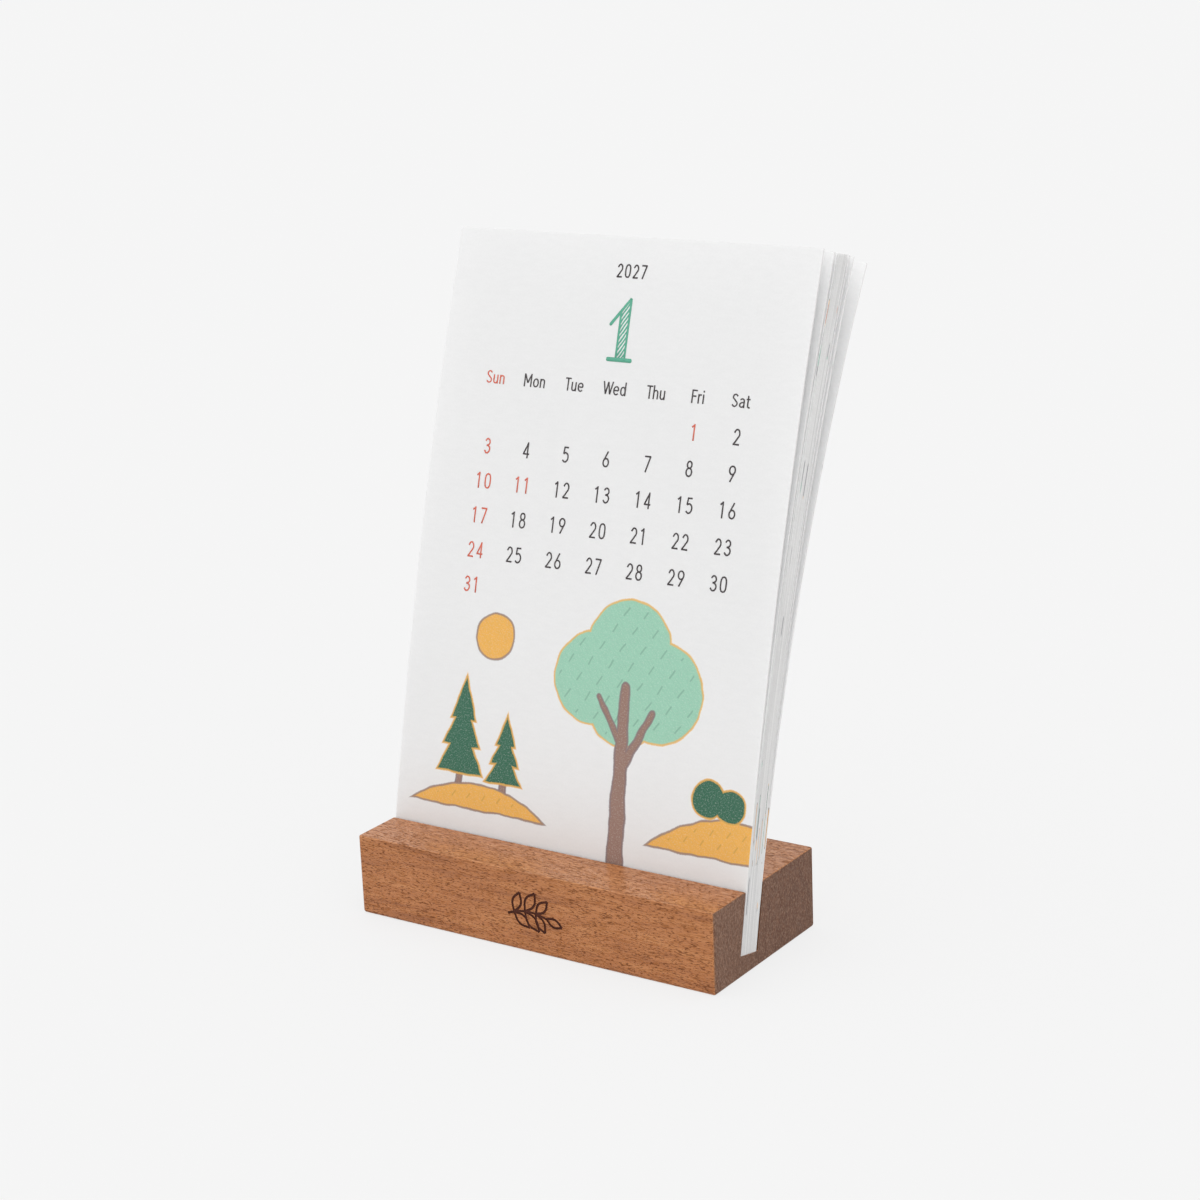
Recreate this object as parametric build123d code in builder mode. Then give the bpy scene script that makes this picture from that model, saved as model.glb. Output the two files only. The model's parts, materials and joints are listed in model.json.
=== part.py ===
"""Desk calendar: loose month cards that stand, bowed back, in the leaning slot of a solid wood block.

Millimetres and degrees, +Z up, +Y to the back. The origin is the centre of the block's underside.
"""

import os
from math import cos, radians, sin, tan

from build123d import *

# Wood block
block_depth = 45.0
block_height = 20.0
front_lip = 14.2  # top of the block in front of the slot
slot_depth = 15.0  # along the slot's front wall
slot_lean = 11.5  # from upright, towards the back
floor_round = 0.25  # corners of the slot's floor
corner_round = 0.8  # upright corners and bottom edges
top_round = 0.4  # top edges and the slot's mouth

# Cards
card_width = 100.0
card_height = 160.0
card_thickness = 0.42
card_gap = 0.11  # between neighbours where they stand on the slot's floor
pack_clearance = 0.4  # between the pack and each wall of the slot
floor_clearance = 0.02  # under the cards' lower edges
end_inset = 0.1  # from a card's side edge to the end of the block

# Overrun of a cut past the surface that it opens
cut_overrun = 5.0

# How far the rear card's lean grows from its lower edge to its upper one
rear_bow_angle = 18.9
# Each card's share of that bow, front to back. None is less than the one before it, so the
# pack opens like a fan.
bow_shares = {
    "january_card": 0.444,
    "february_card": 0.619,
    "march_card": 0.656,
    "april_card": 0.667,
    "may_card": 0.67,
    "june_card": 0.673,
    "july_card": 0.676,
    "august_card": 0.679,
    "september_card": 0.682,
    "october_card": 0.685,
    "november_card": 0.709,
    "december_card": 0.767,
    "cover_card": 1.0,
}

# The block is as long as the cards are wide, and its slot takes the whole pack
block_length = card_width + 2 * end_inset
card_pitch = card_thickness + card_gap
pack_thickness = (len(bow_shares) - 1) * card_pitch + card_thickness
slot_width = pack_thickness + 2 * pack_clearance

# The slot's own plane: x runs back along its floor, y up along its front wall
lean = radians(slot_lean)
mouth_front = front_lip - block_depth / 2
slot_plane = Plane(
    origin=(0, mouth_front - slot_depth * sin(lean), block_height - slot_depth * cos(lean)),
    x_dir=(0, cos(lean), -sin(lean)),
    z_dir=(1, 0, 0),
)

os.makedirs("parts", exist_ok=True)

with BuildPart() as wood_block:
    with BuildSketch():
        Rectangle(block_length, block_depth)
    extrude(amount=block_height)
    fillet(wood_block.edges().filter_by(Axis.Z), radius=corner_round)
    fillet(wood_block.faces().sort_by(Axis.Z)[0].edges(), radius=corner_round)
    # The slot is cut right through both ends, with its floor square to its walls
    with BuildSketch(slot_plane) as slot:
        slot_rise = slot_depth + slot_width * tan(lean) + cut_overrun
        Rectangle(slot_width, slot_rise, align=(Align.MIN, Align.MIN))
        fillet(slot.vertices().group_by(Axis.Y)[0], radius=floor_round)
    extrude(amount=block_length / 2 + cut_overrun, both=True, mode=Mode.SUBTRACT)
    fillet(wood_block.faces().filter_by(Plane.XY).group_by(Axis.Z)[-1].edges(), radius=top_round)

wood_block.part.label = "wood_block"
export_step(wood_block.part, "parts/wood_block.step")


def make_card(name, place, bow):
    """One card in the given place of the pack, as a sheet bent round an axis behind the block."""
    front = pack_clearance + place * card_pitch
    bow_radius = card_height / radians(bow)
    with BuildPart() as card:
        with BuildSketch(slot_plane):
            with BuildLine():
                face = JernArc((front, floor_clearance), (0, 1), bow_radius, -bow)
                back = JernArc(
                    (front + card_thickness, floor_clearance), (0, 1), bow_radius - card_thickness, -bow
                )
                Line(face @ 0, back @ 0)
                Line(face @ 1, back @ 1)
            make_face()
        extrude(amount=card_width / 2, both=True)
    card.part.label = name
    export_step(card.part, f"parts/{name}.step")


for place, (name, bow_share) in enumerate(bow_shares.items()):
    make_card(name, place, rear_bow_angle * bow_share)
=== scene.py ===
"""Looks of a desk calendar: printed month cards, bowed back, that stand in the slot of a solid wood block.

The sheets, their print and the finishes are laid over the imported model, in its own frame, in metres.
"""

import calendar
import json
from math import cos, pi, radians, sin

import bmesh
import bpy
from bpy.props import FloatProperty, FloatVectorProperty, IntProperty, PointerProperty
from mathutils import Matrix, Vector


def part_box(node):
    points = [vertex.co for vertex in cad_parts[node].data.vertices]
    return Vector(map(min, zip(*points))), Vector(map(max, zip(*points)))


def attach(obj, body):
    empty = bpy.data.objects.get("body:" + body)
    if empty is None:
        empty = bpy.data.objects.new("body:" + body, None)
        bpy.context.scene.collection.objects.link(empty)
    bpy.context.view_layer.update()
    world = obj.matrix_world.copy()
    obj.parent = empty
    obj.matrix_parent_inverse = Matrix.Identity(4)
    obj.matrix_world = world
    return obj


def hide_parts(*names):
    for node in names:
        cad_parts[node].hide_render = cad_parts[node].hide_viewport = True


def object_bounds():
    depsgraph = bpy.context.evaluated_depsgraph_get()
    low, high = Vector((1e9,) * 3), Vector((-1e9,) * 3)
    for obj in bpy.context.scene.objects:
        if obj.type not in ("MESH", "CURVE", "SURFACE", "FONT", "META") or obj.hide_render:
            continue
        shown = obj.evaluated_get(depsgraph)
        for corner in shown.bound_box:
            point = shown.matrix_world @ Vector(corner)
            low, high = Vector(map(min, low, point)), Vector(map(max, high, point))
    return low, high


bl_info = {
    "name": "Desk calendar",
    "version": (1, 0, 0),
    "blender": (4, 5, 0),
    "location": "View3D > Sidebar > Calendar",
    "description": "Dresses the packed desk calendar with wood, card stock and print",
    "category": "Object",
}

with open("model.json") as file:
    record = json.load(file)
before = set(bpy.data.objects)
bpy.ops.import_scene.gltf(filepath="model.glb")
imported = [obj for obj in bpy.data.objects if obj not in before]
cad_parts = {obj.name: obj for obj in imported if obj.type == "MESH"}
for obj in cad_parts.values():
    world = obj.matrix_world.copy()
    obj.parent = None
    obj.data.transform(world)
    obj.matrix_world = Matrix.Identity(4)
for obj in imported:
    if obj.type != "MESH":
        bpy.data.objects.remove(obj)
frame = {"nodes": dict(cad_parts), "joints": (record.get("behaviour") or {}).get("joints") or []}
cad_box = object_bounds()

MM = 0.001


def srgb(red, green, blue):
    """A colour as a screen gives it, 0 to 255, in Blender's linear values."""
    return tuple(((c / 255 + 0.055) / 1.055) ** 2.4 for c in (red, green, blue))


def number(name, description, default, **options):
    """A number in the panel."""
    return FloatProperty(name=name, description=description, default=default, **options)


def length(name, description, millimetres):
    """A size in the panel."""
    return number(name, description, millimetres * MM, min=0, precision=5, unit="LENGTH", subtype="DISTANCE")


def colour(name, description, red, green, blue):
    """A colour in the panel."""
    return FloatVectorProperty(name=name, description=description, default=srgb(red, green, blue),
                               size=3, min=0, max=1, subtype="COLOR")


def share(name, description, default):
    """A plain share from 0 to 1 in the panel."""
    return number(name, description, default, min=0, max=1, subtype="FACTOR")


def strength(name, description, default):
    """A light's strength in the panel."""
    return number(name, description, default, min=0)


def angle(name, description, degrees):
    """An angle in the panel."""
    return number(name, description, radians(degrees), subtype="ANGLE", unit="ROTATION")


class BlockSettings(bpy.types.PropertyGroup):
    """The wood block's finish."""

    wood: colour("Wood", "Main tone of the long grain", 181, 115, 66)
    pale: colour("Pale wood", "Lightest streaks", 194, 129, 78)
    dark: colour("Dark wood", "Darkest streaks", 156, 96, 55)
    pore: colour("Pores", "The short open pores along the grain", 86, 47, 28)
    end_grain: colour("End grain", "The sawn ends", 116, 83, 65)
    burnt: colour("Burnt lines", "Lines of the engraved sprig", 66, 28, 14)
    # Painted light as well as specks: this colour also makes the sawn ends paler toward the front
    end_speck: colour("End specks", "Light specks of the sawn ends", 150, 118, 98)
    # Partly raw wood, partly painted shade: this colour darkens the slot's walls where shade falls in the
    # narrow slot
    saw_cut: colour("Saw cut", "Raw wood inside the slot", 88, 56, 38)
    # Painted light as well as wear: this colour paints the block's top paler, paints highlights along its
    # fibres and rims, and lightens its rubbed edges
    worn: colour("Worn edges", "Rounded edges that hands have rubbed", 204, 146, 98)
    pore_length: length("Pore length", "How long a pore is along the grain", 1.0)
    pore_width: length("Pore width", "How wide a pore is", 0.2)
    gloss: share("Roughness", "Roughness of the oil on the surface", 0.25)
    sprig_height: length("Sprig height", "Height of the engraved sprig's middle above the table", 9.6)
    sprig_line: length("Sprig line", "Width of the engraved lines", 0.6)
    sprig_depth: length("Sprig depth", "Depth of the engraved lines", 0.25)


class CardSettings(bpy.types.PropertyGroup):
    """The bowed sheets and their stock."""

    rows: IntProperty(name="Rows", description="Rows of faces along a card", default=48, min=8, max=200)
    paper: colour("Paper", "Face of the card stock at the front", 236, 236, 236)
    # Painted light: every card behind the first, and every back, gets this lighter stock, standing in for
    # light in the shaded gaps between the sheets
    fresh: colour("Fresh paper", "Card stock that has been covered from the light", 244, 244, 244)
    cut_edge: colour("Cut edge", "The sheets' cut edges", 234, 233, 232)
    tooth: length("Tooth", "Size of the paper's fine texture", 0.55)


class PrintSettings(bpy.types.PropertyGroup):
    """What is printed on the month cards."""

    year: IntProperty(name="Year", description="Year of the dates", default=2027, min=1, max=9999)
    column_pitch: length("Column pitch", "Between two weekdays", 11.37)
    middle: length("Middle", "From the sheet's middle to the print's, to the right", 0.6)
    row_pitch: length("Row pitch", "Between two weeks", 8.35)
    first_week: length("First week", "From a card's lower edge to the middle of its first week", 116.2)
    weekday_row: length("Weekdays", "From a card's lower edge to the middle of the weekdays", 124.4)
    year_row: length("Year's place", "From a card's lower edge to the middle of the year", 151.9)
    numeral_foot: length("Month's foot", "From a card's lower edge to the foot of the month's number", 130.7)
    date_height: length("Date height", "Height of the dates", 3.85)
    year_height: length("Year height", "Height of the year", 3.3)
    numeral_height: length("Month height", "Height of the month's number", 15.1)
    weekday_height: length("Weekday height", "Height of a weekday's capital", 3.1)
    stroke: length("Stroke", "Width of a date's strokes", 0.39)
    ink: length("Ink", "How far the print stands proud of the paper", 0.02)
    text: colour("Text", "Dates of working days", 76, 71, 72)
    holiday: colour("Holiday", "Sundays and days off", 214, 110, 90)
    mint: colour("Mint", "Leaves and meadows", 158, 206, 182)
    deep_mint: colour("Deep mint", "The large numbers", 97, 172, 146)
    ochre: colour("Ochre", "Fields and the sun", 238, 180, 92)
    bark: colour("Bark", "Trunks", 154, 124, 112)
    fir: colour("Fir", "Fir trees", 62, 110, 88)
    pencil: colour("Pencil", "Drawn outlines", 138, 122, 124)


class StageSettings(bpy.types.PropertyGroup):
    """Floor, light and camera."""

    floor: colour("Floor", "The table that the calendar stands on", 246, 246, 246)
    shadow: share("Shadow", "How much of the calendar's shadow the floor shows", 0.16)
    sky: strength("Sky", "Strength of the even light", 0.82)
    overhead: strength("Overhead light", "Strength of the soft light from above", 0.75)
    key: strength("Key light", "Strength of the soft light from the left", 0.2)
    fill: strength("Fill light", "Strength of the soft light from the right", 0.6)
    softness: angle("Softness", "How wide the lights look", 80)
    camera_place: FloatVectorProperty(
        name="Camera", description="Where the camera stands", default=(0.3373, -0.48093, 0.25153), size=3,
        subtype="TRANSLATION", unit="LENGTH")
    camera_turn: angle("Turn", "How far the view is turned round from the front", 34.398)
    camera_dip: angle("Dip", "How far the camera looks down", 16.332)
    camera_roll: angle("Roll", "How far the picture is rolled", 2.369)
    lens: number("Lens", "Focal length", 79.42, min=1, unit="CAMERA")


class CalendarSettings(bpy.types.PropertyGroup):
    """All settings of the desk calendar."""

    block: PointerProperty(type=BlockSettings)
    cards: PointerProperty(type=CardSettings)
    print: PointerProperty(type=PrintSettings)
    stage: PointerProperty(type=StageSettings)


def sum_node(operation):
    """A method that adds a Math node."""
    def method(value, *others):
        return value.finish.node("ShaderNodeMath", {"operation": operation}, (value, *others))
    return method


class Value:
    """A socket in a finish. Sums written with it add their Math nodes."""

    def __init__(self, finish, socket):
        self.finish = finish
        self.socket = socket

    __add__ = __radd__ = sum_node("ADD")
    __sub__ = sum_node("SUBTRACT")
    __mul__ = __rmul__ = sum_node("MULTIPLY")
    __truediv__ = sum_node("DIVIDE")
    __pow__ = sum_node("POWER")
    __abs__ = sum_node("ABSOLUTE")
    least, most = sum_node("MINIMUM"), sum_node("MAXIMUM")
    root, sine = sum_node("SQRT"), sum_node("SINE")
    floor, fraction = sum_node("FLOOR"), sum_node("FRACT")

    def __rsub__(self, other):
        return self.finish.node("ShaderNodeMath", {"operation": "SUBTRACT"}, (other, self))


class Finish:
    """A material, or the world, written as sums of its nodes.

    Colours are laid over each other: a step over a noise's values, times how much of the colour is mixed in.
    """

    def __init__(self, name, kind="Principled BSDF", **constants):
        self.material = (bpy.data.materials if kind == "Principled BSDF" else bpy.data.worlds).new(name)
        self.material.use_nodes = True
        self.tree = self.material.node_tree
        self.shader = self.tree.nodes[kind]
        for socket, value in constants.items():
            self.shader.inputs[socket.replace("_", " ")].default_value = value

    def node(self, kind, settings=None, sockets=(), output=0):
        """A node with its settings, then the values or links of its sockets, and the output that is used."""
        made = self.tree.nodes.new(kind)
        for setting, value in (settings or {}).items():
            setattr(made, setting, value)
        for place, value in sockets.items() if isinstance(sockets, dict) else enumerate(sockets):
            if isinstance(value, Value):
                self.tree.links.new(value.socket, made.inputs[place])
            elif hasattr(value, "__len__") and len(value) == 3 and made.inputs[place].type == "RGBA":
                made.inputs[place].default_value = (*value, 1)
            else:
                made.inputs[place].default_value = value
        return Value(self, made.outputs[output])

    def feed(self, socket, value):
        self.tree.links.new(value.socket, self.shader.inputs[socket])

    def split(self, vector):
        """The three parts of a vector."""
        parts = self.node("ShaderNodeSeparateXYZ", None, [vector]).socket.node
        return [Value(self, output) for output in parts.outputs]

    def join(self, x, y, z):
        return self.node("ShaderNodeCombineXYZ", None, [x, y, z])

    def room(self):
        """Place on the object, in millimetres."""
        place = self.node("ShaderNodeTexCoord", output="Object")
        scaled = self.node("ShaderNodeVectorMath", {"operation": "SCALE"}, {"Vector": place, "Scale": 1 / MM})
        return self.split(scaled)

    def noise(self, x, y, z, detail=2.0, roughness=0.5):
        """Soft noise with features about one unit across."""
        sockets = {"Vector": self.join(x, y, z), "Scale": 1.0, "Detail": detail, "Roughness": roughness}
        return self.node("ShaderNodeTexNoise", None, sockets)

    def grain(self, place, size, detail=2.0, roughness=0.5):
        """Soft noise with features of a size of their own along each axis."""
        return self.noise(*(part / long for part, long in zip(place, size)), detail, roughness)

    def step(self, value, low, high):
        """0 below low, 1 above high and smooth between, or the other way round where low is above high."""
        swap = low > high
        low, high = min(low, high), max(low, high)
        return self.node("ShaderNodeMapRange", {"interpolation_type": "SMOOTHSTEP"},
                         [value, low, high, 1.0 if swap else 0.0, 0.0 if swap else 1.0])

    def mix(self, amount, first, second):
        """Two colours, the second by the amount."""
        return self.node("ShaderNodeMix", {"data_type": "RGBA"}, {0: amount, 6: first, 7: second}, 2)

    def seen(self):
        """1 where the camera sees a thing, itself or in gloss or glass, and 0 where it only gives light."""
        path = self.node("ShaderNodeLightPath").socket.node.outputs
        rays = [Value(self, path[f"Is {ray} Ray"]) for ray in ("Camera", "Glossy", "Transmission")]
        return rays[0].most(rays[1]).most(rays[2])

    def bump(self, height, millimetres, strength):
        sockets = {"Strength": strength, "Distance": millimetres * MM, "Height": height}
        self.feed("Normal", self.node("ShaderNodeBump", None, sockets))


def settings():
    return bpy.context.scene.desk_calendar


def toned(tint, share):
    """A colour, darker or lighter."""
    return tuple(c * share for c in tint)


def new_piece(name, bm, materials):
    """An object at the origin from a bmesh, with its finishes."""
    mesh = bpy.data.meshes.new(name)
    bm.to_mesh(mesh)
    bm.free()
    for material in materials:
        mesh.materials.append(material)
    piece = bpy.data.objects.new(name, mesh)
    bpy.context.scene.collection.objects.link(piece)
    return piece


# Points closer than this are one, and edges that turn by more than this stay sharp
WELD = 0.001 * MM
SHARP = radians(30)


def final_mesh(piece):
    """An object's mesh with its modifiers done."""
    return bpy.data.meshes.new_from_object(piece.evaluated_get(bpy.context.evaluated_depsgraph_get()))


def thicken(bm, step):
    """Grows a flat mesh into a solid by one step."""
    grown = bmesh.ops.extrude_face_region(bm, geom=bm.faces[:])["geom"]
    bmesh.ops.translate(bm, vec=step, verts=[v for v in grown if isinstance(v, bmesh.types.BMVert)])


def mark_sharp(bm):
    """Keeps a mesh sharp where its faces turn."""
    for edge in bm.edges:
        edge.smooth = edge.calc_face_angle(pi) < SHARP


# Sizes of the wood's features in millimetres: along the block, across its layers of growth and up
WAVE, BROAD, RIBBON = (45, 16, 16), (70, 6, 14), (9, 2.2, 2.6)
STREAK, FIBRE, CHAR = (22, 0.9, 1.3), (3.2, 0.36, 0.27), (1.2, 0.25, 0.25)
PORE_GROUPS, RINGS, END_GRIT = (7, 2.5, 2.5), (60, 0.42, 5), (9, 0.3, 0.5)
# How far the layers lean, and how far their slow wave along the block carries layers and pores
LAYER_LEAN, LAYER_WAVE = 0.16, 5.0
PORE_WAVE_ACROSS, PORE_WAVE_UP = 2.0, 1.5
# Pores are wider across the layers than up, so the block's top shows them wider
PORE_SPREAD = 1.3
# How far the slot leans, as the sine of its angle
SLOT_LEAN = sin(radians(11.5))
WOOD_IOR = 1.45
# Between these places along the block's depth, in millimetres, its sawn ends grow paler toward the front, as
# painted light
PALE_FROM, PALE_TO = 4.0, -18.0


def long_grain(finish, tone, fibre, pore, top):
    """The sides' colour: streaks from dark to pale, thin fibres and open pores, with painted light on top."""
    look = settings().block
    dark_to_wood = finish.mix(finish.step(tone, 0.0, 0.55), look.dark, look.wood)
    grain = finish.mix(finish.step(tone, 0.45, 1.0), dark_to_wood, look.pale)
    # Painted light on faces that look up: the top is made paler, its fibres and pores darker, and painted
    # highlights run along its lighter fibres
    grain = finish.mix(top * 0.15, grain, look.worn)
    grain = finish.mix(finish.step(fibre, 0.49, 0.64) * (top * 0.3 + 0.36), grain, toned(look.dark, 0.6))
    grain = finish.mix(finish.step(fibre, 0.46, 0.34) * top * 0.4, grain, look.worn)
    return finish.mix(pore * (top * 0.04 + 0.66), grain, look.pore)


def sawn_ends(finish, place, layer, streak):
    """The ends' colour: fine upright streaks, closed dark pores and light specks, with painted light that
    makes them paler toward the front.
    """
    look = settings().block
    x, y, z = place
    rings = finish.grain((x, layer, z), RINGS, 3.0, 0.65)
    ends = finish.mix(finish.step(rings, 0.42, 0.58), look.end_grain, toned(look.end_grain, 0.74))
    ends = finish.mix(finish.step(streak, 0.5, 0.75) * 0.2, ends, look.dark)
    # Painted light: the ends grow paler toward the front
    ends = finish.mix(finish.step(y, PALE_FROM, PALE_TO) * 0.24, ends, look.end_speck)
    grit = finish.grain(place, END_GRIT, 2.0, 0.7)
    ends = finish.mix(finish.step(grit, 0.5, 0.6) * 0.6, ends, look.pore)
    return finish.mix(finish.step(grit, 0.46, 0.36) * 0.7, ends, look.end_speck)


def wood_finish():
    """Oiled wood with its grain along the block, open pores, darker ends and worn edges."""
    look = settings().block
    finish = Finish("oiled_wood", IOR=WOOD_IOR, Specular_IOR_Level=0.2, Coat_IOR=WOOD_IOR,
                    Coat_Roughness=look.gloss)
    x, y, z = place = finish.room()
    # The layers of growth stand almost upright
    wave = finish.grain(place, WAVE, 1.0)
    layer = y + z * LAYER_LEAN + wave * LAYER_WAVE
    broad = finish.grain((x, layer, z), BROAD)
    streak = finish.grain((x, layer, z), STREAK, 4.0, 0.6)
    fibre = finish.grain((x, layer, z), FIBRE, 2.0, 0.6)
    ribbon = finish.grain((x, layer, z), RIBBON)
    pore_width = look.pore_width / MM
    pores = finish.grain((x, y + wave * PORE_WAVE_ACROSS, z + wave * PORE_WAVE_UP),
                         (look.pore_length / MM, pore_width * PORE_SPREAD, pore_width), 1.0, 0.4)
    groups = finish.grain(place, PORE_GROUPS, 1.0)
    pore = finish.step(pores + (groups - 0.5) * 0.08, 0.575, 0.64)
    tone = finish.step(broad * 0.2 + streak * 0.6 + ribbon * 0.2, 0.26, 0.74)
    facing = finish.split(finish.node("ShaderNodeNewGeometry", output="Normal"))
    # How much a face looks up, for the painted light on the block's top
    top = finish.step(facing[2], 0.5, 0.9)
    end_on, front_on, level = (abs(part) for part in facing)
    sawn = finish.step(end_on, 0.55, 0.85)
    sides = long_grain(finish, tone, fibre, pore, top)
    wood = finish.mix(sawn, sides, sawn_ends(finish, place, layer, streak))
    # Rounded edges paler along the lighter streaks: partly wear, partly painted highlight along the rims
    rounded = finish.step(end_on.most(front_on).most(level), 0.95, 0.78)
    wood = finish.mix(rounded * finish.step(streak, 0.35, 0.6) * 0.2, wood, look.worn)
    # Only the walls of the slot lean, and no oil reaches them. Their colour is partly raw wood, partly
    # painted shade of the narrow slot
    inside = finish.step(abs(level - SLOT_LEAN), 0.05, 0.03) * finish.step(front_on, 0.93, 0.96)
    wood = finish.mix(inside * 0.85, wood, look.saw_cut)
    finish.feed("Base Color", wood)
    finish.feed("Roughness", 0.5 + fibre * 0.1 + pore * 0.2 + sawn * 0.1)
    # The oil leaves the open pores and the coarser fibres bare
    oil = (1 - pore) * finish.step(fibre, 0.66, 0.45) * (1 - sawn * 0.7) * (1 - inside)
    finish.feed("Coat Weight", oil * 0.85)
    finish.bump(streak * 0.25 + fibre * 0.3 - pore * 0.8, 0.06, 0.55)
    return finish.material


def burnt_finish():
    """The floor and walls of the engraved lines, browned by the burning tool."""
    look = settings().block
    finish = Finish("burnt_wood", IOR=WOOD_IOR)
    char = finish.grain(finish.room(), CHAR, 2.0, 0.6)
    finish.feed("Base Color", finish.mix(finish.step(char, 0.35, 0.7), look.burnt, toned(look.burnt, 1.9)))
    finish.feed("Roughness", 0.8 + char * 0.15)
    finish.bump(char, 0.05, 0.5)
    return finish.material


# The sprig, in millimetres: its stem's radius, height and points across
STEM_ROUND, STEM_TOP = 15.0, 0.6
STEM_POINTS = (-6.2, -2.5, 1.2, 4.8)
# Its leaves, in pairs and one at the tip: foot along the stem, turn in degrees, length and width
LEAF_TURN, LEAF_SHAPE = 54, 0.45
LEAVES = [(foot, turn, long, long * LEAF_SHAPE) for foot, long in ((-4.4, 5.4), (-1.3, 5.9), (1.8, 5.0))
          for turn in (LEAF_TURN, -LEAF_TURN)] + [(4.7, 0, 4.6, 2.0)]
# Crossing strokes leave slivers in the floor of the groove, with gaps and edges no longer than these
SLIVER_GAP, SLIVER_EDGE = 0.005 * MM, 0.002 * MM


def sprig_strokes():
    """The engraved sprig, in millimetres from its middle: a shallow stem and its leaves."""
    def on_stem(across):
        return across, (STEM_ROUND ** 2 - across ** 2) ** 0.5 - STEM_ROUND + STEM_TOP

    strokes = [("curve", *(on_stem(across) for across in STEM_POINTS))]
    for foot, turn, long, wide in LEAVES:
        start = Vector(on_stem(foot))
        turn = radians(turn) - foot / STEM_ROUND
        ahead, aside = Vector((cos(turn), sin(turn))), Vector((-sin(turn), cos(turn)))
        for side in (1, -1):
            bulge = start + ahead * long / 2 + aside * side * wide / 2
            strokes.append(("curve", tuple(start), tuple(bulge), tuple(start + ahead * long)))
    return strokes


def engraved_block(node):
    """A copy of the block's own mesh with the sprig cut into its front."""
    look = settings().block
    flat = stroke_mesh(sprig_strokes(), look.sprig_line / MM)
    cutter = bmesh.new()
    cutter.from_mesh(flat)
    bpy.data.meshes.remove(flat)
    outside = cad_box[0].y - look.sprig_depth
    lay = Matrix(((MM, 0, 0, 0), (0, 0, 0, outside), (0, MM, 0, look.sprig_height), (0, 0, 0, 1)))
    bmesh.ops.transform(cutter, matrix=lay, verts=cutter.verts)
    thicken(cutter, (0, look.sprig_depth * 2, 0))
    bmesh.ops.recalc_face_normals(cutter, faces=cutter.faces)
    tool = new_piece("sprig_cutter", cutter, [burnt_finish()])
    bm = bmesh.new()
    bm.from_mesh(node.data)
    bmesh.ops.remove_doubles(bm, verts=bm.verts, dist=WELD)
    block = new_piece("engraved_block", bm, [wood_finish()])
    groove = block.modifiers.new("sprig", "BOOLEAN")
    groove.operation, groove.solver, groove.use_self = "DIFFERENCE", "EXACT", True
    groove.object, groove.material_mode = tool, "TRANSFER"
    carved = final_mesh(block)
    block.modifiers.clear()
    bm = bmesh.new()
    bm.from_mesh(carved)
    bmesh.ops.remove_doubles(bm, verts=bm.verts, dist=SLIVER_GAP)
    bmesh.ops.dissolve_degenerate(bm, dist=SLIVER_EDGE, edges=bm.edges)
    for face in bm.faces:
        face.smooth = True
    mark_sharp(bm)
    bm.to_mesh(carved)
    bm.free()
    block.data, plain = carved, block.data
    bpy.data.meshes.remove(plain)
    block.modifiers.new("flat_sides", "WEIGHTED_NORMAL").keep_sharp = True
    used = tool.data
    bpy.data.objects.remove(tool)
    bpy.data.meshes.remove(used)
    return block


class Bow:
    """A card's bend, read from its solid and its hinge: places on the sheet to places in the room."""

    def __init__(self, name):
        hinge = next(joint for joint in frame["joints"] if joint["child"] == name)
        self.centre = Vector(hinge["pos_m"])
        arms = [Vector((0, *(v.co - self.centre).yz)) for v in frame["nodes"][name].data.vertices]
        self.radius = max(arm.length for arm in arms)
        self.thickness = self.radius - min(arm.length for arm in arms)
        face = [arm for arm in arms if arm.length > self.radius - self.thickness / 2]
        low, high = min(face, key=lambda arm: arm.z), max(face, key=lambda arm: arm.z)
        self.foot = low.normalized()
        self.angle = low.angle(high)
        self.height = self.radius * self.angle
        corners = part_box(name)
        self.width = corners[1].x - corners[0].x
        self.middle = (corners[0].x + corners[1].x) / 2

    def place(self, across, along, proud):
        """A point on the sheet: from its middle, up from its lower edge, and out from its face."""
        arm = Matrix.Rotation(-along / self.radius, 3, "X") @ self.foot
        spot = self.centre + arm * (self.radius + proud)
        return Vector((self.middle + across, spot.y, spot.z))

    def along(self, spot):
        """How far up the sheet a point of the room lies."""
        return self.radius * self.foot.angle(Vector((0, *(spot - self.centre).yz)))


# Card stock lets a little light through
SHEER = {"IOR": 1.35, "Subsurface_Weight": 0.35, "Subsurface_Radius": (1, 1, 1), "Subsurface_Scale": 0.8 * MM}
# Height of the paper's tooth in millimetres, and how strongly it shows
TOOTH_BUMP = (0.03, 0.35)
# Inks that run off the sheets and are seen only at their edges
GREY_SPECK, RUST_SPECK = srgb(112, 106, 116), srgb(196, 122, 92)
# Nothing is printed on the last share of a sheet, at its upper edge
BARE_FROM, BARE_ALL = 0.98, 0.99


def paper_base(finish, x, y, pale):
    """The stock's colour, with its faint mottle, and the height of its tooth."""
    look = settings().cards
    tooth = look.tooth / MM
    fine = finish.noise(x / tooth, y / tooth, 0.0, 3.0, 0.6)
    felt = finish.noise(x / (tooth * 6), y / (tooth * 2.2), 3.0, 2.0)
    cloud = finish.noise(x / 30, y / 30, 7.0, 1.0)
    shade = finish.step(fine * 0.5 + felt * 0.35 + cloud * 0.15, 0.3, 0.7)
    return finish.mix(shade, toned(pale, 0.965), pale), fine * 0.6 + felt * 0.4


def plain_stock():
    """The unprinted back of a card."""
    finish = Finish("card_stock_back", Roughness=0.86, **SHEER)
    x, y, z = finish.room()
    # Painted light: the backs get the lighter stock
    base, height = paper_base(finish, x, z, tuple(settings().cards.fresh))
    finish.feed("Base Color", base)
    finish.bump(height, *TOOTH_BUMP)
    return finish.material


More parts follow.
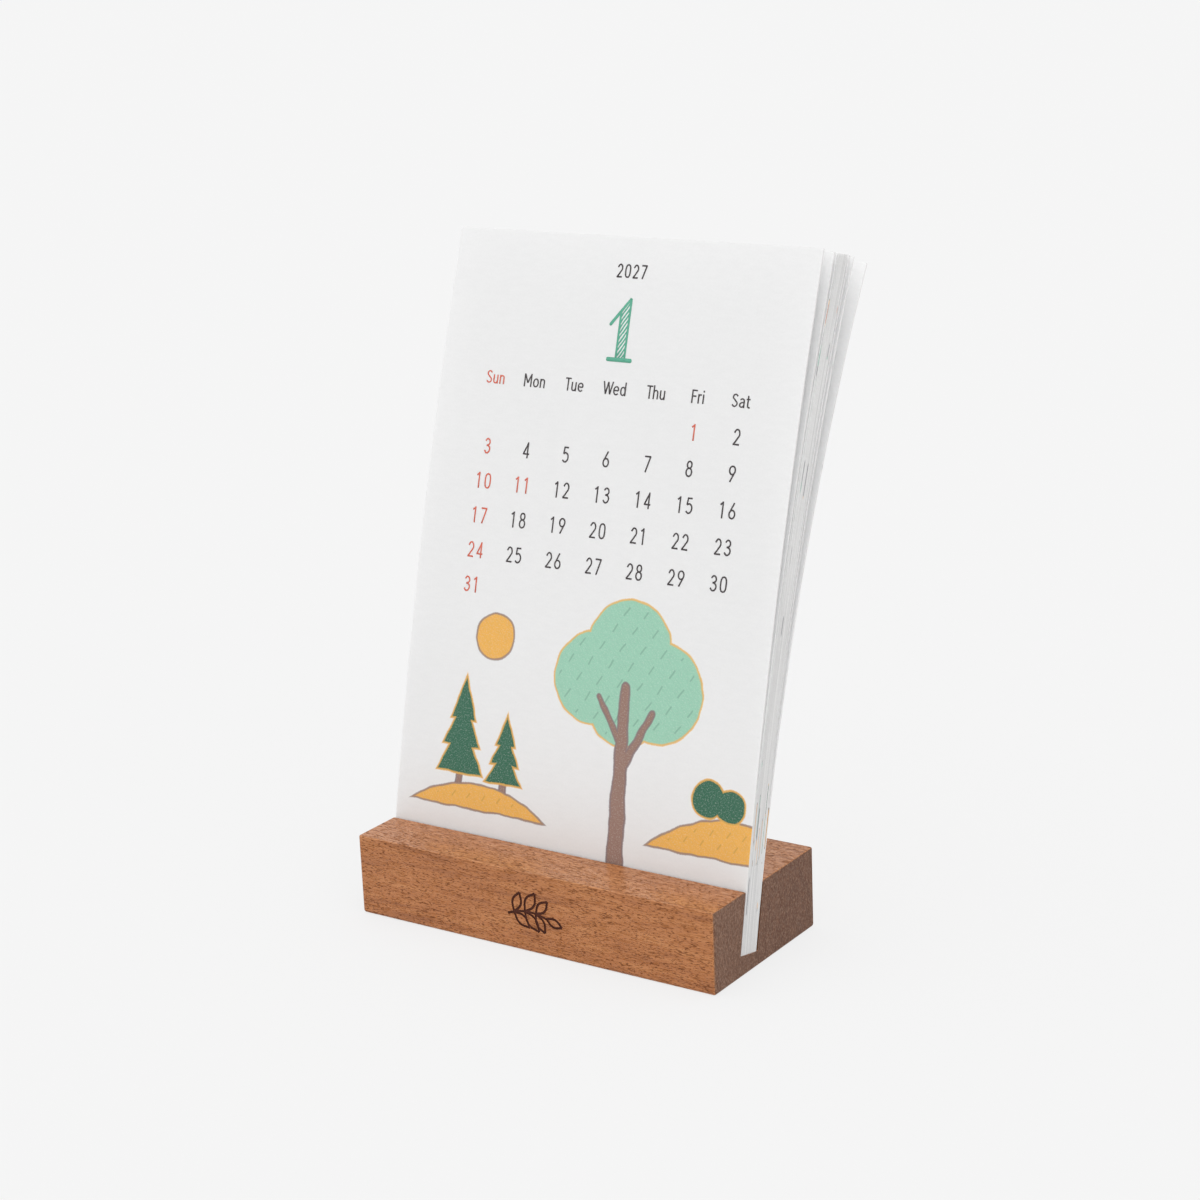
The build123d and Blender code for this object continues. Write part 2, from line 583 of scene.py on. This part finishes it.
def edge_stock():
    """The cut edges: fine lines of the sheet's layers, painted shade that differs from sheet to sheet, and
    specks where print runs off the sheet.
    """
    look, inks = settings().cards, settings().print
    finish = Finish("card_stock_edge", Roughness=0.9, **SHEER)
    x, y, z = finish.room()
    layers = finish.noise(x / 6, y / 0.05, z / 7, 2.0)
    rough = finish.noise(x / 0.4, y / 0.2, z / 0.5, 2.0)
    pale = tuple(look.cut_edge)
    base = finish.mix(finish.step(layers * 0.6 + rough * 0.4, 0.3, 0.7), toned(pale, 0.86), pale)
    sheet, along, _ = finish.split(finish.node("ShaderNodeUVMap", {"uv_map": "sheet"}))
    # Painted shade: each sheet's edge is darker in patches of its own, standing in for the shadows in the
    # gaps between the sheets
    tone = finish.noise(sheet * 3.1, along * 3, 2.0, 1.0)
    base = finish.mix(finish.step(tone, 0.62, 0.36) * 0.5, base, toned(pale, 0.66))
    runs = finish.noise(sheet * 1.7, along * 16, 4.0, 1.0)
    print_band = finish.noise(sheet * 0.9, along * 5, 8.0, 0.0)
    speck = finish.step(runs + (print_band - 0.5) * 0.9, 0.74, 0.8)
    pick = finish.noise(sheet * 2.3, along * 17, 6.0, 0.0)
    tint = finish.mix(finish.step(pick, 0.34, 0.38), inks.deep_mint, GREY_SPECK)
    tint = finish.mix(finish.step(pick, 0.57, 0.61), tint, inks.ochre)
    tint = finish.mix(finish.step(pick, 0.64, 0.68), tint, RUST_SPECK)
    printed = finish.step(along, BARE_ALL, BARE_FROM)
    finish.feed("Base Color", finish.mix(speck * printed * 0.6, base, tint))
    return finish.material


class Drawing:
    """Coloured shapes with pencil outlines on a card's face, in millimetres across and up the sheet."""

    # How far drawn edges stray, and the length of a stray
    STRAY, STRAY_LENGTH = 1.1, 5
    # Size of the dry colour's grain
    GRAIN = 0.34
    # A fir's tiers: lower and upper end in shares of its height, and share of its width
    TIERS = ((0.10, 0.58, 1.0), (0.34, 0.80, 0.78), (0.58, 1.0, 0.55))
    # Slant and half width of the short strokes
    TICK_TURN, TICK_HALF = radians(58), 0.16

    def __init__(self, finish, x, y, base):
        self.finish = finish
        self.base = base
        self.colour = base
        spot = finish.join(x / self.STRAY_LENGTH, y / self.STRAY_LENGTH, 1.5)
        sockets = {"Vector": spot, "Scale": 1.0, "Detail": 1.0}
        stray_x, stray_y, _ = finish.split(finish.node("ShaderNodeTexNoise", None, sockets, "Color"))
        self.x = x + (stray_x - 0.5) * self.STRAY
        self.y = y + (stray_y - 0.5) * self.STRAY
        self.grain = finish.noise(x / self.GRAIN, y / self.GRAIN, 5.0, 3.0, 0.65)
        self.hatch = finish.noise((x + y) / 0.5, (x - y) / 3.2, 9.0, 2.0)

    def disc(self, x, y, radius):
        return ((self.x - x) ** 2 + (self.y - y) ** 2).root() - radius

    def mound(self, x, top, radius, foot):
        """A low round hill on a level foot."""
        return self.disc(x, top - radius, radius).most(foot - self.y)

    def bar(self, x0, y0, x1, y1, half, taper=0.0):
        """A straight limb from one point to another, thinner by the taper at its far end."""
        run_x, run_y = x1 - x0, y1 - y0
        share = ((self.x - x0) * run_x + (self.y - y0) * run_y) / (run_x ** 2 + run_y ** 2)
        share = share.most(0.0).least(1.0)
        off_x, off_y = self.x - x0 - share * run_x, self.y - y0 - share * run_y
        return (off_x ** 2 + off_y ** 2).root() - (half - share * taper)

    def fir_tree(self, x, foot, height, spread):
        """Three tiers, each narrower than the one under it."""
        tree = None
        for low, top, wide in self.TIERS:
            slope = wide * spread / ((top - low) * height)
            side = (abs(self.x - x) - (foot + top * height - self.y) * slope) / (1 + slope ** 2) ** 0.5
            tier = side.most(foot + low * height - self.y)
            tree = tier if tree is None else tree.least(tier)
        return tree

    def paint(self, edge, fill, outline):
        """Fills inside an edge with a dry, grainy colour and draws its outline."""
        finish = self.finish
        inside = finish.step(edge + (self.grain - 0.5) * 0.5, 0.14, -0.14)
        tone = finish.mix(finish.step(self.hatch, 0.35, 0.7) * 0.35, fill, toned(fill, 0.84))
        tone = finish.mix(finish.step(self.grain, 0.5, 0.28) * 0.28, tone, self.base)
        self.colour = finish.mix(inside, self.colour, tone)
        line = finish.step(abs(edge + 0.1) + (self.grain - 0.5) * 0.35, 0.36, 0.16)
        self.colour = finish.mix(line * 0.75, self.colour, outline)

    def ticks(self, edge, tint, wide, high):
        """Short slanting strokes in staggered rows, well inside an edge."""
        row = (self.y / high).floor()
        across = ((self.x / wide + row * 0.5).fraction() - 0.5) * wide
        up = ((self.y / high).fraction() - 0.5) * high
        turn_x, turn_y = cos(self.TICK_TURN), sin(self.TICK_TURN)
        along, aside = across * turn_x + up * turn_y, up * turn_x - across * turn_y
        stroke = (abs(along) - high * 0.28).most(abs(aside) - self.TICK_HALF) + (self.grain - 0.5) * 0.3
        inside = self.finish.step(edge, -1.3, -1.6)
        self.colour = self.finish.mix(self.finish.step(stroke, 0.12, -0.06) * inside * 0.7, self.colour, tint)


def landscape(finish, x, y, base, month):
    """A generic landscape, another one for each month: a round tree, firs, patches of ground, a low sun."""
    inks = settings().print
    mint, deep_mint, ochre, bark, fir, pencil = (
        tuple(tint) for tint in (inks.mint, inks.deep_mint, inks.ochre, inks.bark, inks.fir, inks.pencil))
    drawing = Drawing(finish, x, y, base)
    # Every second month is the other way round, and all but the first are moved a little
    side = 1 if month % 2 else -1
    shift = (month * 5 % 7 - 3) * 1.4 if month > 1 else 0.0
    lift = month * 4 % 7 * 1.1 if month > 1 else 0.0

    def at(across):
        return side * across + shift

    leaf = (mint, mint, mint, deep_mint, fir, mint, deep_mint, ochre)[month % 8]
    field = ochre if month % 3 != 2 else deep_mint
    drawing.paint(drawing.disc(at(-25), 63, 5.6), ochre, pencil)
    trunk = drawing.bar(at(14.5), 8, at(13), 56, 2.6, 1.3)
    limb = drawing.bar(at(13.8), 37, at(21), 51, 1.2, 0.4)
    twig = drawing.bar(at(13.6), 42, at(6), 53, 1.0, 0.4)
    crown = drawing.disc(at(4), 57, 11)
    for across, up, radius in ((22, 56, 12), (13, 65, 11.5), (13, 52, 10)):
        crown = crown.least(drawing.disc(at(across), up, radius))
    # The tree's own ground stands in the slot, and shows when the card is lifted
    drawing.paint(drawing.mound(at(14), 9.5, 28, 5.0), field, pencil)
    drawing.paint(crown, leaf, ochre if leaf != ochre else pencil)
    drawing.ticks(crown, toned(leaf, 0.66), 5.6, 4.2)
    drawing.paint(trunk.least(limb).least(twig), bark, pencil)
    for spot, tall, spread in ((-32, 27, 7.2), (-19, 19, 5.6)):
        drawing.paint(drawing.bar(at(spot), 23, at(spot), 32, 1.0), bark, pencil)
        drawing.paint(drawing.fir_tree(at(spot), 26, tall, spread), fir, ochre)
    for ground in (drawing.mound(at(-26), 27 + lift / 3, 34, 20.5),
                   drawing.mound(at(46), 30 + lift, 35, 20.5 + lift)):
        drawing.paint(ground, field, pencil)
        drawing.ticks(ground, toned(field, 0.74), 4.4, 2.8)
    bush = drawing.disc(at(38), 34 + lift, 4.6).least(drawing.disc(at(44), 33 + lift, 4.0))
    drawing.paint(bush, fir, ochre)
    return drawing.colour


def printed_stock(name, month):
    """The printed face of a card: month 1 to 12, or 13 for the cover."""
    finish = Finish(name + "_face", Roughness=0.84, **SHEER)
    u, v, _ = finish.split(finish.node("ShaderNodeUVMap", {"uv_map": "sheet"}))
    bow = Bow(name)
    x, y = (u - 0.5) * (bow.width / MM), v * (bow.height / MM)
    stock = settings().cards
    # Painted light: every card but the first gets the lighter stock
    base, height = paper_base(finish, x, y, tuple(stock.paper if month == 1 else stock.fresh))
    finish.feed("Base Color", landscape(finish, x, y, base, month))
    finish.bump(height, *TOOTH_BUMP)
    return finish.material


# A sheet's finishes, and how squarely a part of it has to look out or in to be its face or back
FACE, BACK, EDGE = range(3)
SQUARE_ON = 0.9


def bent_sheet(name, place, rows):
    """A card as a sheet spun round its hinge, with its own map across and along the sheet."""
    bow = Bow(name)
    bm = bmesh.new()
    bmesh.ops.create_grid(bm, x_segments=1, y_segments=1, size=0.5)
    # The grid becomes the sheet's lower cut edge
    arm, inner = bow.foot, bow.radius - bow.thickness / 2
    lay = Matrix(((bow.width, 0, 0, bow.middle),
                  (0, arm.y * bow.thickness, 0, bow.centre.y + arm.y * inner),
                  (0, arm.z * bow.thickness, 0, bow.centre.z + arm.z * inner), (0, 0, 0, 1)))
    bmesh.ops.transform(bm, matrix=lay, verts=bm.verts)
    bmesh.ops.spin(bm, geom=bm.verts[:] + bm.edges[:] + bm.faces[:], cent=bow.centre, axis=(1, 0, 0),
                   dvec=(0, 0, 0), angle=-bow.angle, steps=rows, use_merge=False, use_duplicate=False)
    bmesh.ops.remove_doubles(bm, verts=bm.verts, dist=WELD)
    bmesh.ops.recalc_face_normals(bm, faces=bm.faces)
    sheet = bm.loops.layers.uv.new("sheet")
    for face in bm.faces:
        outward = Vector((0, *(face.calc_center_median() - bow.centre).yz)).normalized().dot(face.normal)
        face.material_index = FACE if outward > SQUARE_ON else BACK if outward < -SQUARE_ON else EDGE
        face.smooth = abs(outward) > SQUARE_ON
        for loop in face.loops:
            spot = loop.vert.co
            across = (spot.x - bow.middle) / bow.width + 0.5
            # A cut edge's map holds the sheet's place in the pack, for specks that keep to one sheet
            if face.material_index == EDGE:
                across += place
            loop[sheet].uv = across, bow.along(spot) / bow.height
    mark_sharp(bm)
    return bm


def run(x0, y0, x1, y1):
    """A straight stroke."""
    return "run", (x0, y0), (x1, y1)


# Strokes of the plain numbers, in shares of their height: straight runs, open curves and closed rings
NUMBERS = {
    "0": (("ring", (0.05, 0.5), (0.24, 0.945), (0.43, 0.5), (0.24, 0.055)),),
    "1": (run(0.24, 0.0, 0.24, 1.0), run(0.255, 0.965, 0.07, 0.80)),
    "2": (("curve", (0.05, 0.74), (0.235, 0.945), (0.415, 0.71), (0.27, 0.37), (0.05, 0.05)),
          run(0.02, 0.055, 0.45, 0.055)),
    "3": (("curve", (0.06, 0.80), (0.225, 0.945), (0.395, 0.745), (0.30, 0.57), (0.16, 0.53)),
          ("curve", (0.16, 0.53), (0.32, 0.49), (0.42, 0.285), (0.22, 0.055), (0.03, 0.21))),
    "4": (run(0.345, 0.0, 0.345, 1.0), run(0.355, 0.96, 0.045, 0.25), run(0.02, 0.265, 0.47, 0.265)),
    "5": (run(0.08, 0.945, 0.40, 0.945), run(0.115, 0.96, 0.075, 0.545),
          ("curve", (0.075, 0.55), (0.25, 0.615), (0.42, 0.335), (0.23, 0.055), (0.03, 0.16))),
    "6": (run(0.335, 0.99, 0.08, 0.42),
          ("ring", (0.045, 0.30), (0.235, 0.545), (0.425, 0.30), (0.235, 0.055))),
    "7": (run(0.02, 0.945, 0.46, 0.945), run(0.425, 0.955, 0.15, 0.0)),
    "8": (("ring", (0.085, 0.745), (0.24, 0.945), (0.395, 0.745), (0.24, 0.54)),
          ("ring", (0.05, 0.295), (0.24, 0.54), (0.43, 0.295), (0.24, 0.055))),
    "9": (run(0.145, 0.01, 0.40, 0.58),
          ("ring", (0.055, 0.70), (0.245, 0.945), (0.435, 0.70), (0.245, 0.455))),
}
# The month's number one has a wide hatched stem, drawn outlines, a long flag and a foot. The last
# number of a point is its share of the stroke's width.
LARGE_ONE = (
    ("run", (0.245, 0.02, 1.0), (0.235, 0.80, 1.0), (0.28, 0.955, 0.2)),
    ("line", (0.165, 0.02, 0.24), (0.155, 0.785, 0.24)), ("line", (0.325, 0.02, 0.24), (0.31, 0.985, 0.24)),
    ("line", (-0.022, 0.55, 0.2), (-0.008, 0.568, 0.36), (0.31, 0.985, 0.28)),
    ("line", (-0.005, 0.027, 0.24), (0.015, 0.027, 0.44), (0.445, 0.027, 0.44), (0.465, 0.027, 0.24)),
)
LARGE_LINE_LIFT = 0.004 * MM
# Width of the large numbers' strokes in shares of their height, and height of the rows they are cut in
LARGE_STROKE = 0.15
LARGE_ROW = 3 * MM
# The hatching's slant, and millimetres from one of its lines to the next
HATCH_TURN = radians(56)
HATCH_PITCH = 0.72
# From one number to the next, in shares of their height
NUMBER_PITCH = 0.67
NUMBER_MIDDLE = 0.24
# Strokes of the weekdays' letters, in shares of a capital's height, after how far on the next letter starts
STEM = run(0.06, 0.0, 0.06, 0.70)
LEG = run(0.36, 0.46, 0.36, 0.0)
ARCH = ("curve", (0.06, 0.46), (0.11, 0.60), (0.22, 0.65), (0.33, 0.59), (0.36, 0.45))
LETTERS = {
    "S": (0.54, ("curve", (0.40, 0.82), (0.22, 0.945), (0.06, 0.75), (0.22, 0.52), (0.39, 0.27),
                 (0.21, 0.055), (0.03, 0.19))),
    "M": (0.74, run(0.05, 0.0, 0.05, 1.0), run(0.05, 0.98, 0.31, 0.30),
          run(0.31, 0.30, 0.57, 0.98), run(0.57, 0.0, 0.57, 1.0)),
    "T": (0.50, run(0.0, 0.945, 0.46, 0.945), run(0.23, 0.945, 0.23, 0.0)),
    "W": (0.79, run(0.0, 1.0, 0.19, 0.03), run(0.19, 0.03, 0.36, 0.96),
          run(0.36, 0.96, 0.53, 0.03), run(0.53, 0.03, 0.72, 1.0)),
    "F": (0.47, run(0.05, 0.0, 0.05, 1.0), run(0.05, 0.945, 0.40, 0.945), run(0.05, 0.52, 0.35, 0.52)),
    "u": (0.52, run(0.06, 0.70, 0.06, 0.24), run(0.36, 0.70, 0.36, 0.0),
          ("curve", (0.06, 0.25), (0.09, 0.11), (0.20, 0.05), (0.31, 0.11), (0.36, 0.24))),
    "n": (0.52, STEM, ARCH, LEG),
    "h": (0.52, run(0.06, 0.0, 0.06, 1.03), ARCH, LEG),
    "o": (0.55, ("ring", (0.05, 0.35), (0.23, 0.65), (0.41, 0.35), (0.23, 0.05))),
    "e": (0.54, run(0.05, 0.36, 0.405, 0.36),
          ("curve", (0.40, 0.36), (0.37, 0.56), (0.23, 0.65), (0.09, 0.56), (0.05, 0.35), (0.10, 0.13),
           (0.24, 0.05), (0.38, 0.14))),
    "d": (0.54, ("ring", (0.05, 0.35), (0.22, 0.65), (0.38, 0.35), (0.22, 0.05)),
          run(0.39, 0.0, 0.39, 1.03)),
    "r": (0.36, STEM, ("curve", (0.06, 0.44), (0.11, 0.60), (0.19, 0.65), (0.28, 0.645))),
    "i": (0.22, STEM, run(0.06, 0.85, 0.06, 0.99)),
    "a": (0.50, LEG, ("curve", (0.36, 0.44), (0.32, 0.60), (0.20, 0.65), (0.07, 0.57)),
          ("curve", (0.36, 0.38), (0.18, 0.37), (0.05, 0.20), (0.16, 0.05), (0.31, 0.11), (0.36, 0.23))),
    "t": (0.36, run(0.14, 0.92, 0.14, 0.20), run(0.02, 0.65, 0.30, 0.65),
          ("curve", (0.14, 0.21), (0.17, 0.09), (0.24, 0.05), (0.32, 0.07))),
}
WEEKDAYS = ("Sun", "Mon", "Tue", "Wed", "Thu", "Fri", "Sat")
# The letters are set a little wider than they are drawn, with thinner strokes than the dates
LETTER_STRETCH = 1.14
LETTER_WEIGHT = 0.84
# January's days off, as month and date
DAYS_OFF = {(1, 1), (1, 11)}
# Straight pieces from one point of a curve to the next
CURVE_PIECES = 4
# How far the print reaches into the paper, in shares of how far it stands proud
INK_SUNK = 0.4
TEXT_INK, HOLIDAY_INK, HATCHED_INK, NUMBER_INK = range(4)


def stroke_mesh(strokes, width):
    """A number or letter one unit high, of flat ribbons of the given width."""
    data = bpy.data.curves.new("strokes", "CURVE")
    data.dimensions = "3D"
    data.twist_mode = "Z_UP"
    data.extrude = width / 2
    for kind, *points in strokes:
        spline = data.splines.new("BEZIER")
        spline.bezier_points.add(len(points) - 1)
        spline.use_cyclic_u = kind == "ring"
        straight = kind in ("run", "line")
        spline.resolution_u = 1 if straight else CURVE_PIECES
        for knot, (x, y, *wide) in zip(spline.bezier_points, points):
            knot.co = (x, y, LARGE_LINE_LIFT if kind == "line" else 0)
            knot.handle_left_type = knot.handle_right_type = "VECTOR" if straight else "AUTO"
            knot.tilt = pi / 2
            knot.radius = wide[0] if wide else 1.0
    maker = bpy.data.objects.new("strokes", data)
    bpy.context.scene.collection.objects.link(maker)
    mesh = final_mesh(maker)
    bpy.data.objects.remove(maker)
    bpy.data.curves.remove(data)
    return mesh


def add_flat(bm, mesh, across, along, wide, high, ink):
    """Copies a flat mesh into a print, at its place and size on the sheet, in one of the inks."""
    count_verts, count_faces = len(bm.verts), len(bm.faces)
    bm.from_mesh(mesh)
    bm.verts.ensure_lookup_table()
    bm.faces.ensure_lookup_table()
    lay = Matrix.Translation((across, along, 0)) @ Matrix.Diagonal((wide, high, 1, 1))
    bmesh.ops.transform(bm, matrix=lay, verts=bm.verts[count_verts:])
    for face in bm.faces[count_faces:]:
        face.material_index = ink


def number_starts(text, across, height):
    """The figures of a number with its middle at a place, and where each starts."""
    start = across - ((len(text) - 1) * NUMBER_PITCH / 2 + NUMBER_MIDDLE) * height
    return [(figure, start + place * NUMBER_PITCH * height) for place, figure in enumerate(text)]


def add_number(bm, numbers, text, across, along, height, ink):
    """Writes a number with its middle at a place on the sheet."""
    for figure, start in number_starts(text, across, height):
        add_flat(bm, numbers[figure], start, along - height / 2, height, height, ink)


def add_word(bm, letters, word, across, along, height, ink):
    """Writes a word with its middle at a place on the sheet."""
    wide = height * LETTER_STRETCH
    start = across - sum(LETTERS[letter][0] for letter in word) * wide / 2
    for letter in word:
        add_flat(bm, letters[letter], start, along - height / 2, wide, height, ink)
        start += LETTERS[letter][0] * wide


def month_print(bm, month, numbers, year_numbers, letters):
    """The flat print of one month: year, weekdays and dates."""
    look = settings().print
    add_number(bm, year_numbers, str(look.year), look.middle, look.year_row, look.year_height, TEXT_INK)
    columns = [look.middle + (day - 3) * look.column_pitch for day in range(7)]
    for day, word in enumerate(WEEKDAYS):
        add_word(bm, letters, word, columns[day], look.weekday_row, look.weekday_height,
                 TEXT_INK if day else HOLIDAY_INK)
    weeks = calendar.Calendar(firstweekday=calendar.SUNDAY).monthdayscalendar(look.year, month)
    for week, days in enumerate(weeks):
        for day, date in enumerate(days):
            if date:
                off = day == 0 or (month, date) in DAYS_OFF
                add_number(bm, numbers, str(date), columns[day], look.first_week - week * look.row_pitch,
                           look.date_height, HOLIDAY_INK if off else TEXT_INK)


def bend_print(bm, name):
    """Gives a flat print its thickness, and bends it along its card."""
    look = settings().print
    bow = Bow(name)
    thicken(bm, (0, 0, look.ink * (1 + INK_SUNK)))
    for vert in bm.verts:
        vert.co = bow.place(vert.co.x, vert.co.y, vert.co.z - look.ink * INK_SUNK)
    bmesh.ops.recalc_face_normals(bm, faces=bm.faces)


def large_number(bm, text, numbers):
    """A month's number, or the year on the cover, cut in rows so that it bends with the sheet."""
    look = settings().print
    large = bmesh.new()
    height = look.numeral_height
    for figure, start in number_starts(text, look.middle, height):
        add_flat(large, numbers[figure], start, look.numeral_foot, height, height, HATCHED_INK)
    # Thin strokes are drawn solid, over the hatched ones
    for face in large.faces:
        if face.calc_center_median().z > LARGE_LINE_LIFT / 2:
            face.material_index = NUMBER_INK
    for cut in range(1, int(height / LARGE_ROW) + 1):
        bmesh.ops.bisect_plane(large, geom=large.verts[:] + large.edges[:] + large.faces[:],
                               plane_co=(0, look.numeral_foot + cut * LARGE_ROW, 0), plane_no=(0, 1, 0))
    mesh = bpy.data.meshes.new("large")
    large.to_mesh(mesh)
    large.free()
    bm.from_mesh(mesh)
    bpy.data.meshes.remove(mesh)


def ink_finish(name, tint, hatched=False):
    """Dry printing ink, a little broken by the paper's tooth, or drawn in slanting strokes."""
    finish = Finish(name, Roughness=0.75, IOR=SHEER["IOR"])
    x, y, z = finish.room()
    grain = finish.noise(x / 0.22, y / 0.22, z / 0.22, 2.0)
    pale = tuple(settings().cards.paper)
    weight = finish.step(grain, 0.62, 0.8) * 0.3
    if hatched:
        drift = finish.noise(x / 1.3, z / 1.3, 2.0, 1.0)
        lines = ((x * sin(HATCH_TURN) - z * cos(HATCH_TURN) + drift * 0.3) * (2 * pi / HATCH_PITCH)).sine()
        weight = weight.most(finish.step(lines + (drift - 0.5) * 1.2, 0.0, 0.55) * 0.92)
    finish.feed("Base Color", finish.mix(weight, tint, pale))
    return finish.material


# Half the table's width, and how far its top lies under the block, so that the two never flicker
FLOOR_HALF, FLOOR_GAP = 12.0, 0.05 * MM
# Light from above is stronger than on the calendar's face, so the table itself is darker than it looks
FLOOR_SHADE = 0.84
# Where the lights stand, as seen from the calendar
LIGHTS = {"key": (-0.37, -0.40, 0.84), "fill": (0.70, -0.56, 0.44), "overhead": (-0.08, -0.02, 0.99)}


def floor_finish():
    """A pale table top that shows the camera its own even colour under a soft share of the shadow."""
    look = settings().stage
    table = (*toned(look.floor, FLOOR_SHADE), 1)
    finish = Finish("floor", Roughness=0.9, Specular_IOR_Level=0.1, Base_Color=table)
    even = finish.node("ShaderNodeEmission", None, {"Color": tuple(look.floor), "Strength": 1.0})
    lit = Value(finish, finish.shader.outputs[0])
    shown = finish.node("ShaderNodeMixShader", None, [finish.seen() * (1 - look.shadow), lit, even])
    finish.tree.links.new(shown.socket, finish.tree.nodes["Material Output"].inputs["Surface"])
    return finish.material


def place_camera(scene):
    """The camera, turned, dipped and rolled as the picture was taken."""
    look = settings().stage
    camera = bpy.data.objects.new("camera", bpy.data.cameras.new("camera"))
    camera.data.lens = look.lens
    camera.data.sensor_width = 36
    camera.data.clip_start, camera.data.clip_end = 0.01, 50
    turn, dip, roll = look.camera_turn, look.camera_dip, look.camera_roll
    ahead = Vector((-sin(turn) * cos(dip), cos(turn) * cos(dip), -sin(dip)))
    right = Vector((cos(turn), sin(turn), 0))
    up = right.cross(ahead)
    axes = Matrix((right * cos(roll) - up * sin(roll), up * cos(roll) + right * sin(roll), -ahead))
    camera.matrix_world = Matrix.Translation(look.camera_place) @ axes.transposed().to_4x4()
    scene.collection.objects.link(camera)
    scene.camera = camera


class CALENDAR_OT_wood_block(bpy.types.Operator):
    """Gives the wood block its grain and its engraved sprig"""

    bl_idname = "calendar.wood_block"
    bl_label = "Wood block"

    def execute(self, context):
        block = engraved_block(frame["nodes"]["wood_block"])
        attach(block, "block")
        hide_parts("wood_block")
        return {"FINISHED"}


class CALENDAR_OT_cards(bpy.types.Operator):
    """Bends the thirteen sheets along their solids and prints their faces"""

    bl_idname = "calendar.cards"
    bl_label = "Cards"

    def execute(self, context):
        back, edge = plain_stock(), edge_stock()
        for place, name in enumerate(card_names()):
            sheet = new_piece(name + "_sheet", bent_sheet(name, place, settings().cards.rows),
                              [printed_stock(name, place + 1), back, edge])
            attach(sheet, name)
            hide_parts(name)
        return {"FINISHED"}


class CALENDAR_OT_prints(bpy.types.Operator):
    """Prints the year, month, weekdays and dates on the month cards, and the year on the cover"""

    bl_idname = "calendar.prints"
    bl_label = "Prints"

    def execute(self, context):
        look = settings().print
        inks = [ink_finish("text_ink", look.text), ink_finish("holiday_ink", look.holiday),
                ink_finish("hatched_ink", look.deep_mint, True), ink_finish("number_ink", look.deep_mint)]

        def drawn(signs, width):
            return {sign: stroke_mesh(strokes, width) for sign, strokes in signs.items()}

        numbers = drawn(NUMBERS, look.stroke / look.date_height)
        bold = drawn(NUMBERS, look.stroke / look.year_height)
        large = drawn({**NUMBERS, "1": LARGE_ONE}, LARGE_STROKE)
        letters = drawn({letter: strokes for letter, (_, *strokes) in LETTERS.items()},
                        look.stroke * LETTER_WEIGHT / look.weekday_height)
        for month, name in enumerate(card_names(), 1):
            bm = bmesh.new()
            if month > 12:
                large_number(bm, str(look.year), large)
            else:
                month_print(bm, month, numbers, bold, letters)
                large_number(bm, str(month), large)
            bend_print(bm, name)
            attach(new_piece(name.replace("_card", "_print"), bm, inks), name)
        for mesh in [*numbers.values(), *bold.values(), *large.values(), *letters.values()]:
            bpy.data.meshes.remove(mesh)
        return {"FINISHED"}


class CALENDAR_OT_stage(bpy.types.Operator):
    """Sets the floor, the soft light and the camera"""

    bl_idname = "calendar.stage"
    bl_label = "Stage"

    def execute(self, context):
        look, scene = settings().stage, context.scene
        scene.view_settings.view_transform = "Standard"
        bm = bmesh.new()
        bmesh.ops.create_grid(bm, x_segments=8, y_segments=8, size=FLOOR_HALF)
        bmesh.ops.translate(bm, vec=(0, 0, -FLOOR_GAP), verts=bm.verts)
        floor = new_piece("floor", bm, [floor_finish()])
        # Beyond the table's far edge the camera sees the table's own colour
        studio = Finish("studio", "Background", Color=(*look.floor, 1))
        studio.feed("Strength", look.sky + studio.seen() * (1 - look.sky))
        scene.world = studio.material
        for name, towards in LIGHTS.items():
            light = bpy.data.lights.new(name, "SUN")
            light.energy = getattr(look, name)
            light.angle = look.softness
            lamp = bpy.data.objects.new(name, light)
            lamp.rotation_euler = Vector(towards).to_track_quat("Z", "Y").to_euler()
            scene.collection.objects.link(lamp)
        place_camera(scene)
        return {"FINISHED"}


class CALENDAR_PT_panel(bpy.types.Panel):
    """The calendar's settings and steps"""

    bl_label = "Desk calendar"
    bl_idname = "CALENDAR_PT_panel"
    bl_space_type = "VIEW_3D"
    bl_region_type = "UI"
    bl_category = "Calendar"

    def draw(self, context):
        for group, operator in (("block", CALENDAR_OT_wood_block), ("cards", CALENDAR_OT_cards),
                                ("print", CALENDAR_OT_prints), ("stage", CALENDAR_OT_stage)):
            box = self.layout.box()
            look = getattr(settings(), group)
            for setting in look.bl_rna.properties:
                if not setting.is_readonly and setting.identifier != "name":
                    box.prop(look, setting.identifier)
            box.operator(operator.bl_idname)


def card_names():
    """The cards' nodes, front to back, as their hinges are listed."""
    return [joint["child"] for joint in frame["joints"]]


CLASSES = (BlockSettings, CardSettings, PrintSettings, StageSettings, CalendarSettings,
           CALENDAR_OT_wood_block, CALENDAR_OT_cards, CALENDAR_OT_prints, CALENDAR_OT_stage,
           CALENDAR_PT_panel)


def register():
    for made in CLASSES:
        bpy.utils.register_class(made)
    bpy.types.Scene.desk_calendar = PointerProperty(type=CalendarSettings)


def unregister():
    del bpy.types.Scene.desk_calendar
    for made in reversed(CLASSES):
        bpy.utils.unregister_class(made)


def main():
    register()
    bpy.ops.calendar.stage()
    bpy.ops.calendar.wood_block()
    bpy.ops.calendar.cards()
    bpy.ops.calendar.prints()


if __name__ == "__main__":
    main()
